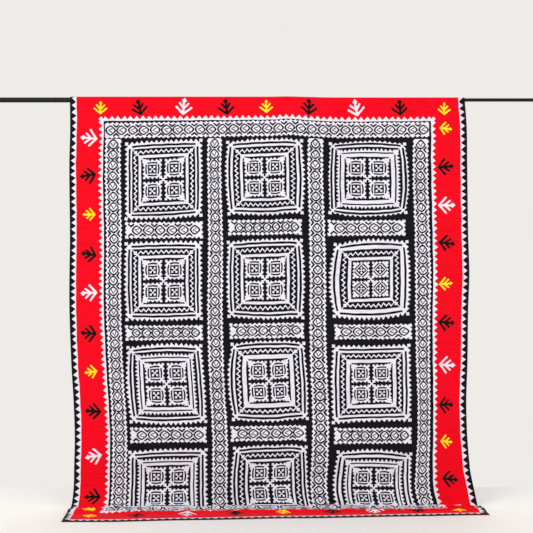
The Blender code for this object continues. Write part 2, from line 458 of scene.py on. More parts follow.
# %% Lay flat points on the drape
CLOTH_WIDTH = 2.214
CLOTH_LENGTH = 2.790
GROUND_TOP = 3.5 * MM
COLUMN_SAMPLES = 97
ROW_SAMPLES = TOTAL_ROWS * 24
SHARE_SAMPLES = 1600
FIXED_FROM_LEFT = 1.899
EDGING_WIDTH = 0.037
SLACK_FROM_HEM = (0.170, 0.060)
SLACK_ZONE = (0.275, 0.367)

sample_across = np.linspace(0.0, 1.0, COLUMN_SAMPLES)
sample_row = np.linspace(0.0, TOTAL_ROWS, ROW_SAMPLES)
grid_across, grid_row = np.meshgrid(sample_across, sample_row, indexing="ij")
surface = drape(grid_across.ravel(), grid_row.ravel(), GROUND_TOP).reshape(COLUMN_SAMPLES, ROW_SAMPLES, 3)
walked = np.cumsum(np.linalg.norm(np.diff(surface, axis=1), axis=2), axis=1)
walked = np.hstack((np.zeros((COLUMN_SAMPLES, 1)), walked))
path_lengths = walked[:, -1]
shares = np.linspace(0.0, 1.0, SHARE_SAMPLES)
row_at_share = np.array([np.interp(shares * line[-1], line, sample_row) for line in walked])


def find_row(across, distance):
    """The row that lies at a distance along the cloth from its back hem."""
    column = np.clip(across, 0.0, 1.0) * (COLUMN_SAMPLES - 1)
    left = np.clip(column.astype(int), 0, COLUMN_SAMPLES - 2)
    beside = column - left
    length = path_lengths[left] * (1.0 - beside) + path_lengths[left + 1] * beside
    share = np.clip(distance / length, 0.0, 1.0) * (SHARE_SAMPLES - 1)
    low = np.clip(share.astype(int), 0, SHARE_SAMPLES - 2)
    over = share - low
    left_row = row_at_share[left, low] * (1.0 - over) + row_at_share[left, low + 1] * over
    right_row = row_at_share[left + 1, low] * (1.0 - over) + row_at_share[left + 1, low + 1] * over
    return left_row * (1.0 - beside) + right_row * beside


def draped_distance(u, v, across):
    """How far along the drape a flat point lies, once the slack at the floor is taken up."""
    path = np.interp(across, sample_across, path_lengths)
    share = u / CLOTH_WIDTH
    start = SLACK_FROM_HEM[0] + (SLACK_FROM_HEM[1] - SLACK_FROM_HEM[0]) * share
    zone = SLACK_ZONE[0] + (SLACK_ZONE[1] - SLACK_ZONE[0]) * share
    t = np.clip((CLOTH_LENGTH - v - start) / zone, 0.0, 1.0)
    taken = (CLOTH_LENGTH - path) * (0.85 * t + 0.15 * ease(t))
    return path - (CLOTH_LENGTH - v - taken)


def draped_across(u, row):
    """The place across of a flat point: true from the left edge, and from the right one at its border."""
    left = underside(np.zeros_like(row), row)[:, 0]
    width = underside(np.ones_like(row), row)[:, 0] - left
    flexible = CLOTH_WIDTH - EDGING_WIDTH - FIXED_FROM_LEFT
    spare = (width - CLOTH_WIDTH) * np.clip((u - FIXED_FROM_LEFT) / flexible, 0.0, 1.0)
    on_floor = ease((row - SWEEP_START) / SWEEP_ROWS)
    return (1.0 - on_floor) * (u + spare) / width + on_floor * u / CLOTH_WIDTH


PUCKERS = (  # waves in a metre across and along, offset, depth
    (2.1, 7.3, 0.4, 0.30 * MM),
    (-3.7, 11.0, 1.9, 0.22 * MM),
    (6.3, 4.1, 3.1, 0.16 * MM),
)


CRUMPLES = (  # the same for the crumpled zone at the floor
    (3.3, 15.0, 0.2, 2.6 * MM),
    (-6.1, 21.0, 2.6, 2.1 * MM),
    (9.5, -12.0, 4.4, 1.7 * MM),
    (-13.0, 27.0, 1.1, 1.2 * MM),
)


def swells(waves, u, v):
    total = np.zeros_like(u)
    for waves_across, waves_along, offset, depth in waves:
        total += depth * (1.0 + np.sin(math.tau * (waves_across * u + waves_along * v) + offset))
    return total


def pucker(u, v):
    """The small swells that quilting leaves, and the larger ones where the cloth bunches at the floor."""
    from_hem = CLOTH_LENGTH - v
    quilted = ease((v - 0.12) / 0.10) * ease((from_hem - 0.30) / 0.15)
    share = u / CLOTH_WIDTH
    start = SLACK_FROM_HEM[0] + (SLACK_FROM_HEM[1] - SLACK_FROM_HEM[0]) * share
    zone = SLACK_ZONE[0] + (SLACK_ZONE[1] - SLACK_ZONE[0]) * share
    place = (from_hem - start) / zone
    bunched = ease(place / 0.25) * ease((1.0 - place) / 0.35)
    return swells(PUCKERS, u, v) * quilted + swells(CRUMPLES, u, v) * bunched


def lay(u, v, out):
    """Lay flat points on the drape, at a distance out from the cloth's underside."""
    across = u / CLOTH_WIDTH
    for refinement in range(2):
        row = find_row(across, draped_distance(u, v, across))
        across = draped_across(u, row)
    return drape(np.clip(across, 0.0, 1.0), row, out + pucker(u, v))


print("path along the drape, left, middle, right:", np.round(path_lengths[[0, 48, 96]], 3))

# %% [markdown]
# A hand-cut edge is never quite straight. A slow wobble, the same for every layer, moves all the
# cut lines by a millimetre or so.

# %% Wobble and refine cut lines
WOBBLES = (  # waves in a metre across and along, offset, depth
    (3.1, 1.7, 0.3, 0.4 * MM),
    (-2.3, 5.3, 2.2, 0.4 * MM),
    (9.7, 6.1, 4.1, 0.5 * MM),
    (-7.9, 13.3, 1.2, 0.5 * MM),
)
COARSE_STEP = 18.0 * MM
SWEEP_STEP = 7.0 * MM
FOLD_STEP = 3.6 * MM
WRAP_END = 0.125
SWEEP_FROM_HEM = 0.62
RIDGES_FROM_HEM = 0.31


def wobble(points):
    moved = points.copy()
    for waves_across, waves_along, offset, depth in WOBBLES:
        phase = math.tau * (waves_across * points[:, 0] + waves_along * points[:, 1]) + offset
        moved[:, 0] += depth * np.sin(phase)
        moved[:, 1] += depth * np.cos(1.3 * phase)
    return moved


def step_along(v):
    """The longest step along the cloth that still follows its bends."""
    if v < WRAP_END or CLOTH_LENGTH - v < RIDGES_FROM_HEM:
        return FOLD_STEP
    return SWEEP_STEP if CLOTH_LENGTH - v < SWEEP_FROM_HEM else COARSE_STEP


def refine(points):
    """Split the long edges of a cut line."""
    fine = []
    for here, after in zip(points, np.roll(points, -1, axis=0)):
        du, dv = np.abs(after - here)
        pieces = math.ceil(max(du / COARSE_STEP, dv / step_along(0.5 * (here[1] + after[1])), 1.0))
        for index in range(pieces):
            fine.append(here + (after - here) * (index / pieces))
    return np.array(fine)


def along_lines():
    lines = [0.0]
    while lines[-1] < CLOTH_LENGTH:
        lines.append(lines[-1] + step_along(lines[-1]))
    return np.array(lines[:-1] + [CLOTH_LENGTH])


ALONG_LINES = along_lines()
ACROSS_LINES = np.linspace(0.0, CLOTH_WIDTH, 1 + math.ceil(CLOTH_WIDTH / COARSE_STEP))
print("net of the cloth:", len(ACROSS_LINES), "by", len(ALONG_LINES))

# %% [markdown]
# Each layer of cloth is cut flat, given its thickness by an extrusion, and then laid on the drape
# point by point. The flat place of each point is kept as the UV map.


# %% Thicken a flat cloth and lay it
def thicken_and_lay(piece, low, high, material):
    """Extrude a flat mesh and lay it between two heights over the underside."""
    bpy.ops.object.select_all(action="DESELECT")
    piece.select_set(True)
    bpy.context.view_layer.objects.active = piece
    bpy.ops.object.mode_set(mode="EDIT")
    bpy.ops.mesh.select_all(action="SELECT")
    bpy.ops.mesh.extrude_region_move(TRANSFORM_OT_translate={"value": (0.0, 0.0, 1.0)})
    bpy.ops.object.mode_set(mode="OBJECT")
    mesh = piece.data
    count = len(mesh.vertices)
    flat = np.empty(count * 3)
    mesh.vertices.foreach_get("co", flat)
    flat = flat.reshape(count, 3)
    corners = np.empty(len(mesh.loops), dtype=int)
    mesh.loops.foreach_get("vertex_index", corners)
    while mesh.uv_layers:
        mesh.uv_layers.remove(mesh.uv_layers[0])
    mesh.uv_layers.new(name="flat_cloth").data.foreach_set("uv", flat[corners, :2].ravel())
    laid = lay(flat[:, 0], flat[:, 1], low + (high - low) * flat[:, 2])
    mesh.vertices.foreach_set("co", laid.ravel())
    mesh.update()
    bpy.ops.object.mode_set(mode="EDIT")
    bpy.ops.mesh.select_all(action="SELECT")
    bpy.ops.mesh.normals_make_consistent(inside=False)
    bpy.ops.object.mode_set(mode="OBJECT")
    mesh.shade_smooth()
    mesh.set_sharp_from_angle(angle=math.radians(50.0))
    mesh.materials.clear()
    mesh.materials.append(material)
    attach(piece, "root")
    piece.select_set(False)
    return piece


def new_flat(name, points, faces):
    mesh = bpy.data.meshes.new(name)
    mesh.from_pydata([(u, v, 0.0) for u, v in points], [], faces)
    piece = bpy.data.objects.new(name, mesh)
    bpy.context.scene.collection.objects.link(piece)
    return piece


# %% [markdown]
# The two whole layers come first: the black ground with its filling, and the maroon backing, which
# reaches a few millimetres past the ground at the front hem. Each one stands for its sheet of the
# frame.

# %% The ground and the backing
GROUND_LOW = 1.56 * MM
BACKING_TOP = 1.2 * MM
HEM_SHOW = 4.0 * MM


def whole_layer(name, length, low, high, material):
    """A whole rectangle of the cloth as a net of quads."""
    along = np.append(ALONG_LINES[ALONG_LINES < length - MM], length)
    columns = len(ACROSS_LINES)
    points = [(u, v) for v in along for u in ACROSS_LINES]
    faces = []
    for row in range(len(along) - 1):
        for column in range(columns - 1):
            corner = row * columns + column
            faces.append((corner, corner + 1, corner + columns + 1, corner + columns))
    return thicken_and_lay(new_flat(name, points, faces), low, high, material)


GROUND_LENGTH = CLOTH_LENGTH - HEM_SHOW
ground = whole_layer("quilt_ground", GROUND_LENGTH, GROUND_LOW, GROUND_TOP, BLACK_COTTON)
backing = whole_layer("quilt_back", CLOTH_LENGTH, 0.0, BACKING_TOP, MAROON_COTTON)
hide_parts("quilt_face")
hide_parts("quilt_backing")
print("ground faces:", len(ground.data.polygons), "backing faces:", len(backing.data.polygons))

# %% [markdown]
# Cutwork is shapes laid on shapes: a white square, black gaps snipped out of it, white left inside
# the gaps. So a piece is given as a list of outlines, each one either cloth or gap, and the last
# outline that covers a spot decides. A constrained triangulation turns the list into faces.

# %% Cut a cloth from outlines
WHITE_LOW = 3.2 * MM
WHITE_TOP = 4.4 * MM
RED_TOP = 4.0 * MM
LEAF_LOW = 3.7 * MM
LEAF_TOP = 4.8 * MM
MERGE = 0.02 * MM


def signed_area(points):
    after = np.roll(points, -1, axis=0)
    return 0.5 * np.sum(points[:, 0] * after[:, 1] - after[:, 0] * points[:, 1])


def cut_cloth(name, shapes, low, high, material):
    """A cloth from outlines, each with True for cloth or False for a gap."""
    corners = []
    outlines = []
    for points, is_cloth in shapes:
        points = refine(np.array(points, dtype=float))
        if signed_area(points) < 0.0:
            points = points[::-1]
        outlines.append(list(range(len(corners), len(corners) + len(points))))
        corners.extend(wobble(points))
    corners = np.array(corners)
    lowest, highest = corners.min(axis=0), corners.max(axis=0)
    across = ACROSS_LINES[(ACROSS_LINES > lowest[0]) & (ACROSS_LINES < highest[0])]
    along = ALONG_LINES[(ALONG_LINES > lowest[1]) & (ALONG_LINES < highest[1])]
    inner = [(u, v) for u in across for v in along]
    vectors = [Vector(point) for point in corners] + [Vector(point) for point in inner]
    found = delaunay_2d_cdt(vectors, [], outlines, 1, MERGE, True)
    places, triangles, owners = found[0], found[2], found[5]
    kept = [face for face, owner in zip(triangles, owners) if owner and shapes[max(owner)][1]]
    used = sorted({index for face in kept for index in face})
    number = {index: order for order, index in enumerate(used)}
    faces = [tuple(number[index] for index in face) for face in kept]
    piece = new_flat(name, [tuple(places[index]) for index in used], faces)
    thicken_and_lay(piece, low, high, material)
    print(name, "triangles:", 2 * len(faces))
    return piece


# %% [markdown]
# Nearly every edge of this quilt is a row of small sawteeth. One function makes them along any
# line, each tooth a little different, as scissors leave them.

# %% Sawteeth
rng = np.random.default_rng(7)


def saw(start, end, depth, pitch, margin=0.0, ragged=0.10):
    """Points from a start to just before an end, with teeth on the right-hand side of the way."""
    start, end = np.array(start, float), np.array(end, float)
    length = np.linalg.norm(end - start)
    ahead = (end - start) / length
    outward = np.array((ahead[1], -ahead[0]))
    count = max(1, round((length - 2.0 * margin) / pitch))
    tooth = (length - 2.0 * margin) / count
    points = [start] if margin else []
    for index in range(count):
        points.append(start + ahead * (margin + tooth * index))
        lean = 0.5 + rng.uniform(-ragged, ragged)
        reach = depth * (1.0 + rng.uniform(-ragged, ragged))
        points.append(start + ahead * (margin + tooth * (index + lean)) + outward * reach)
    if margin:
        points.append(start + ahead * (length - margin))
    return points


def toothed_box(low, high, depths, pitch, margin=0.0):
    """A rectangle whose four sides have teeth: depths of the top, right, bottom and left side."""
    (x0, y0), (x1, y1) = low, high
    corners = ((x0, y0), (x1, y0), (x1, y1), (x0, y1))
    outline = []
    for index, depth in enumerate(depths):
        outline += saw(corners[index], corners[(index + 1) % 4], depth, pitch, margin)
    return outline


def box(low, high):
    (x0, y0), (x1, y1) = low, high
    return [(x0, y0), (x1, y0), (x1, y1), (x0, y1)]


def turned(points, angle):
    points = np.array(points, dtype=float)
    c, s = math.cos(angle), math.sin(angle)
    return points @ np.array(((c, s), (-s, c)))


# %% [markdown]
# Three rings of cloth frame the quilt. The edging is white with teeth that point out over the black
# ground. The border is four red strips. The guard is white with teeth that point out into the red.

# %% The edging, the red border and the guard
EDGING_VALLEY = 0.0355
EDGING_TEETH = (0.0140, 0.0250, 0.0250, 0.0250)
EDGING_PITCH = 0.0385
EDGING_BACK = 0.024
EDGING_BACK_BAND = 9.0 * MM
RED_BACK_START = 4.0 * MM
HEM_EDGING = 0.040
GUARD_LEFT = 0.190
GUARD_RIGHT = 2.010
GUARD_TOP = 0.2075
GUARD_BOTTOM = 2.582
GUARD_BAND = 6.0 * MM
GUARD_PITCH = 0.0348
GUARD_TEETH = (0.0205, 0.0195, 0.0185, 0.0195)
GUARD_LINES = np.array((  # place along, inner edge of the guard at the left and at the right
    (0.2075, 0.1870, 2.0130),
    (0.5550, 0.1870, 2.0155),
    (1.1400, 0.1910, 2.0210),
    (1.7200, 0.1940, 2.0150),
    (2.2400, 0.1990, 1.9980),
    (2.5820, 0.2000, 1.9980),
))
CORNER_SQUARE_HALF = 9.2 * MM
CORNER_SQUARE_OUT = np.array((15.0, 11.0)) * MM
UNDERLAP = 5.0 * MM
GUARD_UNDERLAP = 3.0 * MM
SEAM = 0.3 * MM

right_valley = CLOTH_WIDTH - EDGING_VALLEY
hem_valley = CLOTH_LENGTH - HEM_SHOW - EDGING_VALLEY
edging_low, edging_high = (EDGING_VALLEY, EDGING_BACK), (right_valley, hem_valley)
edging_outline = toothed_box(edging_low, edging_high, EDGING_TEETH, EDGING_PITCH)
hole_low = (EDGING_WIDTH, EDGING_BACK + EDGING_BACK_BAND)
hole_high = (CLOTH_WIDTH - EDGING_WIDTH, CLOTH_LENGTH - HEM_EDGING)
edging_hole = box(hole_low, hole_high)
edging_shapes = [(edging_outline, True), (edging_hole, False)]
edging = cut_cloth("white_edging", edging_shapes, WHITE_LOW, WHITE_TOP, WHITE_COTTON)


def guard_line(v, column):
    return np.interp(v, GUARD_LINES[:, 0], GUARD_LINES[:, column])


def bend_guard(points):
    """Move an outline that is drawn for a straight guard onto its real side lines."""
    points = np.array(points, dtype=float)
    left, right = guard_line(points[:, 1], 1), guard_line(points[:, 1], 2)
    points[:, 0] = left + (right - left) * (points[:, 0] - GUARD_LEFT) / (GUARD_RIGHT - GUARD_LEFT)
    return points


red_left, red_right = EDGING_WIDTH - UNDERLAP, CLOTH_WIDTH - EDGING_WIDTH + UNDERLAP
red_back, red_front = EDGING_BACK + RED_BACK_START, CLOTH_LENGTH - HEM_EDGING + UNDERLAP
side_places = np.linspace(GUARD_TOP + SEAM, GUARD_BOTTOM - SEAM, 15)
under_left = [(guard_line(v, 1) - GUARD_UNDERLAP, v) for v in side_places]
under_right = [(guard_line(v, 2) + GUARD_UNDERLAP, v) for v in side_places]
red_strips = {
    "red_border_back": box((red_left, red_back), (red_right, GUARD_TOP)),
    "red_border_hem": box((red_left, GUARD_BOTTOM), (red_right, red_front)),
    "red_border_left": [(red_left, side_places[0])] + under_left + [(red_left, side_places[-1])],
    "red_border_right": [(red_right, side_places[0])] + under_right + [(red_right, side_places[-1])],
}
borders = []
for name, outline in red_strips.items():
    borders.append(cut_cloth(name, [(outline, True)], WHITE_LOW, RED_TOP, RED_COTTON))

guard_low = (GUARD_LEFT - GUARD_BAND, GUARD_TOP - GUARD_BAND)
guard_high = (GUARD_RIGHT + GUARD_BAND, GUARD_BOTTOM + GUARD_BAND)
guard_shapes = [(bend_guard(toothed_box(guard_low, guard_high, GUARD_TEETH, GUARD_PITCH)), True)]
half = CORNER_SQUARE_HALF
for u, out_u in ((GUARD_LEFT, -1.0), (GUARD_RIGHT, 1.0)):
    for v, out_v in ((GUARD_TOP, -1.0), (GUARD_BOTTOM, 1.0)):
        centre = np.array((u, v)) + CORNER_SQUARE_OUT * (out_u, out_v)
        square = turned(box((-half, -half), (half, half)), 0.25 * math.pi)
        guard_shapes.append((bend_guard(square + centre), True))
guard_hole = refine(np.array(box((GUARD_LEFT, GUARD_TOP), (GUARD_RIGHT, GUARD_BOTTOM))))
guard_shapes.append((bend_guard(guard_hole), False))
guard = cut_cloth("white_guard", guard_shapes, WHITE_LOW, WHITE_TOP, WHITE_COTTON)

# %% [markdown]
# The lattice strips hold a row of rounded diamonds. Each diamond is a black ring with a small
# two-leaved sprig inside, and a black chevron sits in the notch between two diamonds on each side.

# %% Shapes of a diamond strip
STRIP_HALF = 0.0385
STRIP_TEETH = 0.0100
STRIP_REACH = STRIP_HALF + STRIP_TEETH
STRIP_TOOTH_PITCH = 0.0262
END_SQUARE = 0.0090
PLAIN_START = 0.0250
PLAIN_END = 0.0040
DIAMOND_HALF = 0.0300
RING_WIDTH = 0.0090
RING_STRAY = 0.6 * MM
CHEVRON_STRAY = 0.5 * MM
CHEVRON = ((0.0, 0.0140), (0.0200, 0.0310), (0.0150, 0.0390), (0.0, 0.0270))
PETAL = ((-0.62, 0.00), (0.26, 0.54), (0.42, 0.38), (-0.24, 0.02))


def pointed_ring(half_along, half_across, points=20):
    """A rounded diamond with its sharp end forward."""
    angles = np.arange(points) * math.tau / points
    cosines, sines = np.cos(angles), np.sin(angles)
    sharpness = np.where(cosines > 0.0, 1.75, 1.25)
    along = half_along * np.sign(cosines) * np.abs(cosines) ** sharpness
    across = half_across * np.sign(sines) * np.abs(sines) ** 1.3
    return np.stack((along, across), axis=1)


def strip_outline(start, end, end_teeth):
    """The toothed edge of a strip, with teeth at its ends where they are cut free."""
    half = STRIP_HALF
    margin = 0.5 * STRIP_TOOTH_PITCH if end_teeth else 0.0
    corners = ((start, -half), (end, -half), (end, half), (start, half))
    outline = []
    for index, depth in enumerate((STRIP_TEETH, end_teeth, STRIP_TEETH, end_teeth)):
        if depth:
            outline += saw(corners[index], corners[(index + 1) % 4], depth, STRIP_TOOTH_PITCH, margin)
        else:
            outline.append(corners[index])
    return outline


def diamond(centre, pitch, facing):
    """One ring with its two petals."""
    size = 1.0 + rng.normal(0.0, 0.025)
    half_along, half_across = 0.497 * pitch * size, DIAMOND_HALF * size
    tilt = rng.normal(0.0, 0.05)
    ring = turned(pointed_ring(facing * half_along, half_across), tilt)
    hole = turned(pointed_ring(facing * (half_along - 1.15 * RING_WIDTH), half_across - RING_WIDTH), tilt)
    shapes = [(ring + centre, False), (hole + centre, True)]
    lean = tilt + rng.normal(0.0, 0.16)
    for side in (-1.0, 1.0):
        petal = np.array([(facing * a * half_along, side * b * half_across) for a, b in PETAL])
        shapes.append((turned(petal, lean) * 0.9 + centre, False))
    return shapes


def diamond_strip(start, end, path, upright, count, facing, free_ends=False):
    """Outlines of a strip of diamonds. The path gives its middle and half width at places along it."""
    local = [(strip_outline(start, end, STRIP_TEETH if free_ends else 0.0), True)]
    if free_ends:
        square = np.array(box((-END_SQUARE, -END_SQUARE), (END_SQUARE, END_SQUARE)))
        for place in (start, end):
            for side in (-STRIP_HALF, STRIP_HALF):
                local.append((turned(square, rng.normal(0.0, 0.2)) + (place, side), True))
        start, end = start + PLAIN_START, end - PLAIN_END
    pitch = (end - start) / count
    for index in range(count):
        centre = np.array((start + pitch * (index + 0.5), 0.0)) + rng.normal(0.0, RING_STRAY, 2)
        local += diamond(centre, pitch, facing)
    for index in range(0 if free_ends else 1, count):
        for side in (-1.0, 1.0):
            chevron = [(a, side * b) for a, b in CHEVRON] + [(-a, side * b) for a, b in CHEVRON[2:0:-1]]
            points = np.array(chevron) + (start + pitch * index, 0.0)
            local.append((points + rng.normal(0.0, CHEVRON_STRAY, points.shape), False))
    places, middles, halves = np.array(path).T
    shapes = []
    for points, is_cloth in local:
        along, across = np.array(points).T
        across = np.interp(along, places, middles) + across * np.interp(along, places, halves) / STRIP_REACH
        shapes.append((np.stack((across, along) if upright else (along, across), axis=1), is_cloth))
    return shapes


# %% [markdown]
# The columns of blocks stand between four upright strips, and the long strips at the top and the
# bottom close the frame. All of it was cut by hand, so no strip runs quite straight.

# %% Cut and lay the long strips
UPRIGHTS = np.array((  # each strip's middle across and half width in millimetres, at places along in metres
    ((0.26, 241, 47), (0.56, 243, 47), (1.14, 246, 45), (1.72, 247, 43), (2.24, 253, 45)),
    ((0.26, 805, 43), (0.56, 808, 41), (1.14, 812, 46), (1.72, 803, 45), (2.24, 811, 46)),
    ((0.26, 1368, 46), (0.56, 1370, 46), (1.14, 1384, 49), (1.72, 1373, 50), (2.24, 1362, 50)),
    ((0.26, 1955, 46), (0.56, 1955, 45), (1.14, 1967, 45), (1.72, 1956, 42), (2.24, 1937, 43)),
)) * (1.0, MM, MM)
TOP_STRIP = ((0.24, 0.2615, 0.0455), (0.53, 0.2600, 0.0455), (1.09, 0.2555, 0.0460), (1.95, 0.2550, 0.0445))
BOTTOM_STRIP = ((0.24, 2.5240, 0.0475), (1.95, 2.5240, 0.0475))
UPRIGHT_ENDS = (0.3085, 2.4740)
UPRIGHT_DIAMONDS = 37
LONG_DIAMONDS = 29

strips = []
long_left = UPRIGHTS[0, 0, 1] - UPRIGHTS[0, 0, 2]
long_right = UPRIGHTS[-1, 0, 1] + UPRIGHTS[-1, 0, 2]
for name, path in (("strip_top", TOP_STRIP), ("strip_bottom", BOTTOM_STRIP)):
    shapes = diamond_strip(long_left, long_right, path, False, LONG_DIAMONDS, 1.0)
    strips.append(cut_cloth(name, shapes, WHITE_LOW, WHITE_TOP, WHITE_COTTON))
for index, path in enumerate(UPRIGHTS):
    shapes = diamond_strip(*UPRIGHT_ENDS, path, True, UPRIGHT_DIAMONDS, -1.0)
    strips.append(cut_cloth(f"strip_upright_{index + 1}", shapes, WHITE_LOW, WHITE_TOP, WHITE_COTTON))

# %% [markdown]
# A block is drawn in its own square, with its first thin line at 1 on each side, and then fitted to
# its place with bowed sides. From outside in it has teeth, the thin line, a ring of zigzag or teeth,
# a white band, and four small blocks round a crossing.

# %% Shapes of a block
QUARTERS = tuple(0.5 * math.pi * quarter for quarter in range(4))
LINE_HALF = 0.0300
LINE_REACH = 0.943
BLOCK_TOOTH = 0.143
ZIGZAG_PITCH = 0.150
ZIGZAG_HALF = 0.0225
RING_TOOTH = 0.118
STROKE_HALF = 0.021
MINI_INNER = 0.657


def corner_squares(place, half):
    squares = []
    for angle in QUARTERS:
        square = turned(box((-half, -half), (half, half)), rng.normal(0.0, 0.10))
        squares.append((turned(square + (place, place), angle), True))
    return squares


def corner_strokes(start, end, half):
    """White strokes across the four corners, from one square to another."""
    stroke = turned(box((1.414 * start, -half), (1.414 * end, half)), 0.25 * math.pi)
    return [(turned(stroke, angle), True) for angle in QUARTERS]


def bar(low, high, half_length):
    """A straight gap along one side, from its inner to its outer distance."""
    reach = half_length + rng.uniform(-0.012, 0.012)
    return [(-reach, low), (reach, low), (reach, high), (-reach, high)]


def zigzag(middle, swing, half_length):
    """A white zigzag line along one side."""
    peaks = round(2.0 * half_length / ZIGZAG_PITCH)
    steps = np.linspace(-half_length, half_length, 2 * peaks + 1)
    side = np.where(np.arange(len(steps)) % 2 == 0, -swing, swing)
    heights = middle + side + rng.normal(0.0, 0.006, len(steps))
    upper = [(x, y + ZIGZAG_HALF) for x, y in zip(steps, heights)]
    lower = [(x, y - ZIGZAG_HALF) for x, y in zip(steps, heights)]
    return upper + lower[::-1]


def toothed_row(inner, base, tips):
    """A white row of teeth along one side, with its plain edge inward."""
    row = [(-base, base), (-base, inner), (base, inner)]
    return row + saw((base, base), (-base, base), tips - base, RING_TOOTH)


def mini_block(turn, size):
    """One of the four small blocks, about its own centre."""
    base, tip = 0.2307 * size, 0.2864 * size
    teeth = toothed_box((-base, -base), (base, base), (tip - base,) * 4, 0.1227 * size, 0.045 * size)
    shapes = [(teeth, True)] + corner_squares(base + 0.012 * size, 0.034 * size)
    for angle in QUARTERS:
        outer = [(x, 0.2150 - 1.1 * x * x) for x in np.linspace(-0.150, 0.150, 7)]
        inner = [(x, 0.1690 - 1.1 * x * x) for x in np.linspace(0.132, -0.132, 7)]
        shapes.append((turned(np.array(outer + inner) * size, angle + turn), False))
    half = 0.1307 * size
    inside = [(box((-half, -half), (half, half)), False)] + corner_squares(0.0600 * size, 0.0290 * size)
    for direction in (0.25 * math.pi, 0.75 * math.pi):
        stroke = box((-0.75 * half, -0.0110 * size), (0.75 * half, 0.0110 * size))
        inside.append((turned(stroke, direction), True))
    return shapes + [(turned(points, turn), is_cloth) for points, is_cloth in inside]


def block_ring(ring_style, ring, band):
    """The black ring with its white zigzag or teeth, and the white band inside it."""
    shapes = [(box((-ring, -ring), (ring, ring)), False), (box((-band, -band), (band, band)), True)]
    middle = 0.5 * (ring + band)
    for angle in QUARTERS:
        if ring_style == "zigzag":
            row = zigzag(middle, 0.185 * (ring - band), 0.905 * middle)
        else:
            row = toothed_row(band + 0.040, band + 0.066, band + 0.139)
        shapes.append((turned(row, angle), True))
    strokes = corner_strokes(band - 0.02, middle, STROKE_HALF)
    strokes += corner_strokes(middle, ring + 0.01, 0.5 * STROKE_HALF)
    return shapes + corner_squares(middle - 0.006, 0.044) + strokes


def block(ring_style, turn, tips, ring, band, inner):
    """Outlines of a whole block. Its first thin line is at 1 on each side."""
    base = 1.0 + 0.47 * (tips - 1.0)
    tips += 0.012
    teeth = toothed_box((-base, -base), (base, base), (tips - base,) * 4, BLOCK_TOOTH, 0.045)
    shapes = [(teeth, True)] + corner_squares(1.02 + 0.55 * (tips - 1.0), 0.046)
    for angle in QUARTERS:
        shapes.append((turned(bar(1.0 - LINE_HALF, 1.0 + LINE_HALF, LINE_REACH), angle), False))
    shapes += block_ring(ring_style, ring, band)
    shapes.append((box((-inner, -inner), (inner, inner)), False))
    size = inner / MINI_INNER
    outer_square = 0.064 if turn == 0.0 else 0.044
    shapes += corner_squares(0.551 * size, outer_square * size)
    if turn == 0.0:
        shapes += corner_strokes(0.551 * size, inner + 0.01, 0.020)
    for column in (-0.3216, 0.3216):
        for row in (-0.3216, 0.3216):
            for points, is_cloth in mini_block(turn, size):
                shapes.append((np.array(points) + (column * size, row * size), is_cloth))
    shapes += corner_squares(0.074 * size, 0.0443 * size)
    for direction in (0.25 * math.pi, 0.75 * math.pi):
        shapes.append((turned(box((-0.085, -0.0193), (0.085, 0.0193)), direction) * size, True))
    return shapes


# %% Fit a block to its place
FINE_EDGE = 0.08


def fit_block(shapes, corners, bows):
    """Fit a block between four corners of its first line, with each side bowed."""
    top_left, top_right, bottom_right, bottom_left = np.array(corners) * MM
    bow_left, bow_right, bow_top, bow_bottom = np.array(bows) * MM
    fitted = []
    for points, is_cloth in shapes:
        fine = []
        points = np.array(points, dtype=float)
        for here, after in zip(points, np.roll(points, -1, axis=0)):
            pieces = math.ceil(max(np.abs(after - here).max() / FINE_EDGE, 1.0))
            fine += [here + (after - here) * (index / pieces) for index in range(pieces)]
        x, y = np.array(fine).T
        right, down = 0.5 * (x + 1.0), 0.5 * (y + 1.0)
        placed = np.outer((1.0 - right) * (1.0 - down), top_left) + np.outer(right * (1.0 - down), top_right)
        placed += np.outer((1.0 - right) * down, bottom_left) + np.outer(right * down, bottom_right)
        along_x, along_y = np.clip(1.0 - x * x, 0.0, 1.0), np.clip(1.0 - y * y, 0.0, 1.0)
        placed[:, 0] += (bow_right * np.maximum(x, 0.0) ** 2 - bow_left * np.maximum(-x, 0.0) ** 2) * along_y
        placed[:, 1] += (bow_bottom * np.maximum(y, 0.0) ** 2 - bow_top * np.maximum(-y, 0.0) ** 2) * along_x
        fitted.append((placed, is_cloth))
    return fitted


# %% Cut and lay the blocks and the short strips
TURNED = 0.25 * math.pi
BLOCK_LAYERS = {  # ring style, turn of the small blocks, then tips, ring, band and inner square
    "1_1": ("zigzag", 0.0, 1.130, 0.926, 0.731, 0.657),
    "1_2": ("zigzag", 0.0, 1.130, 0.926, 0.731, 0.657),
    "1_3": ("teeth", 0.0, 1.130, 0.926, 0.731, 0.657),
    "1_4": ("teeth", 0.0, 1.130, 0.926, 0.731, 0.657),
    "2_1": ("zigzag", 0.0, 1.118, 0.907, 0.699, 0.629),
    "2_2": ("zigzag", 0.0, 1.115, 0.920, 0.707, 0.634),
    "2_3": ("zigzag", 0.0, 1.095, 0.917, 0.728, 0.621),
    "2_4": ("zigzag", 0.0, 1.105, 0.922, 0.709, 0.644),
    "3_1": ("teeth", 0.0, 1.078, 0.923, 0.737, 0.645),
    "3_2": ("zigzag", TURNED, 1.140, 0.872, 0.648, 0.569),
    "3_3": ("zigzag", 0.0, 1.136, 0.910, 0.711, 0.614),
    "3_4": ("teeth", 0.0, 1.120, 0.899, 0.711, 0.644),
}
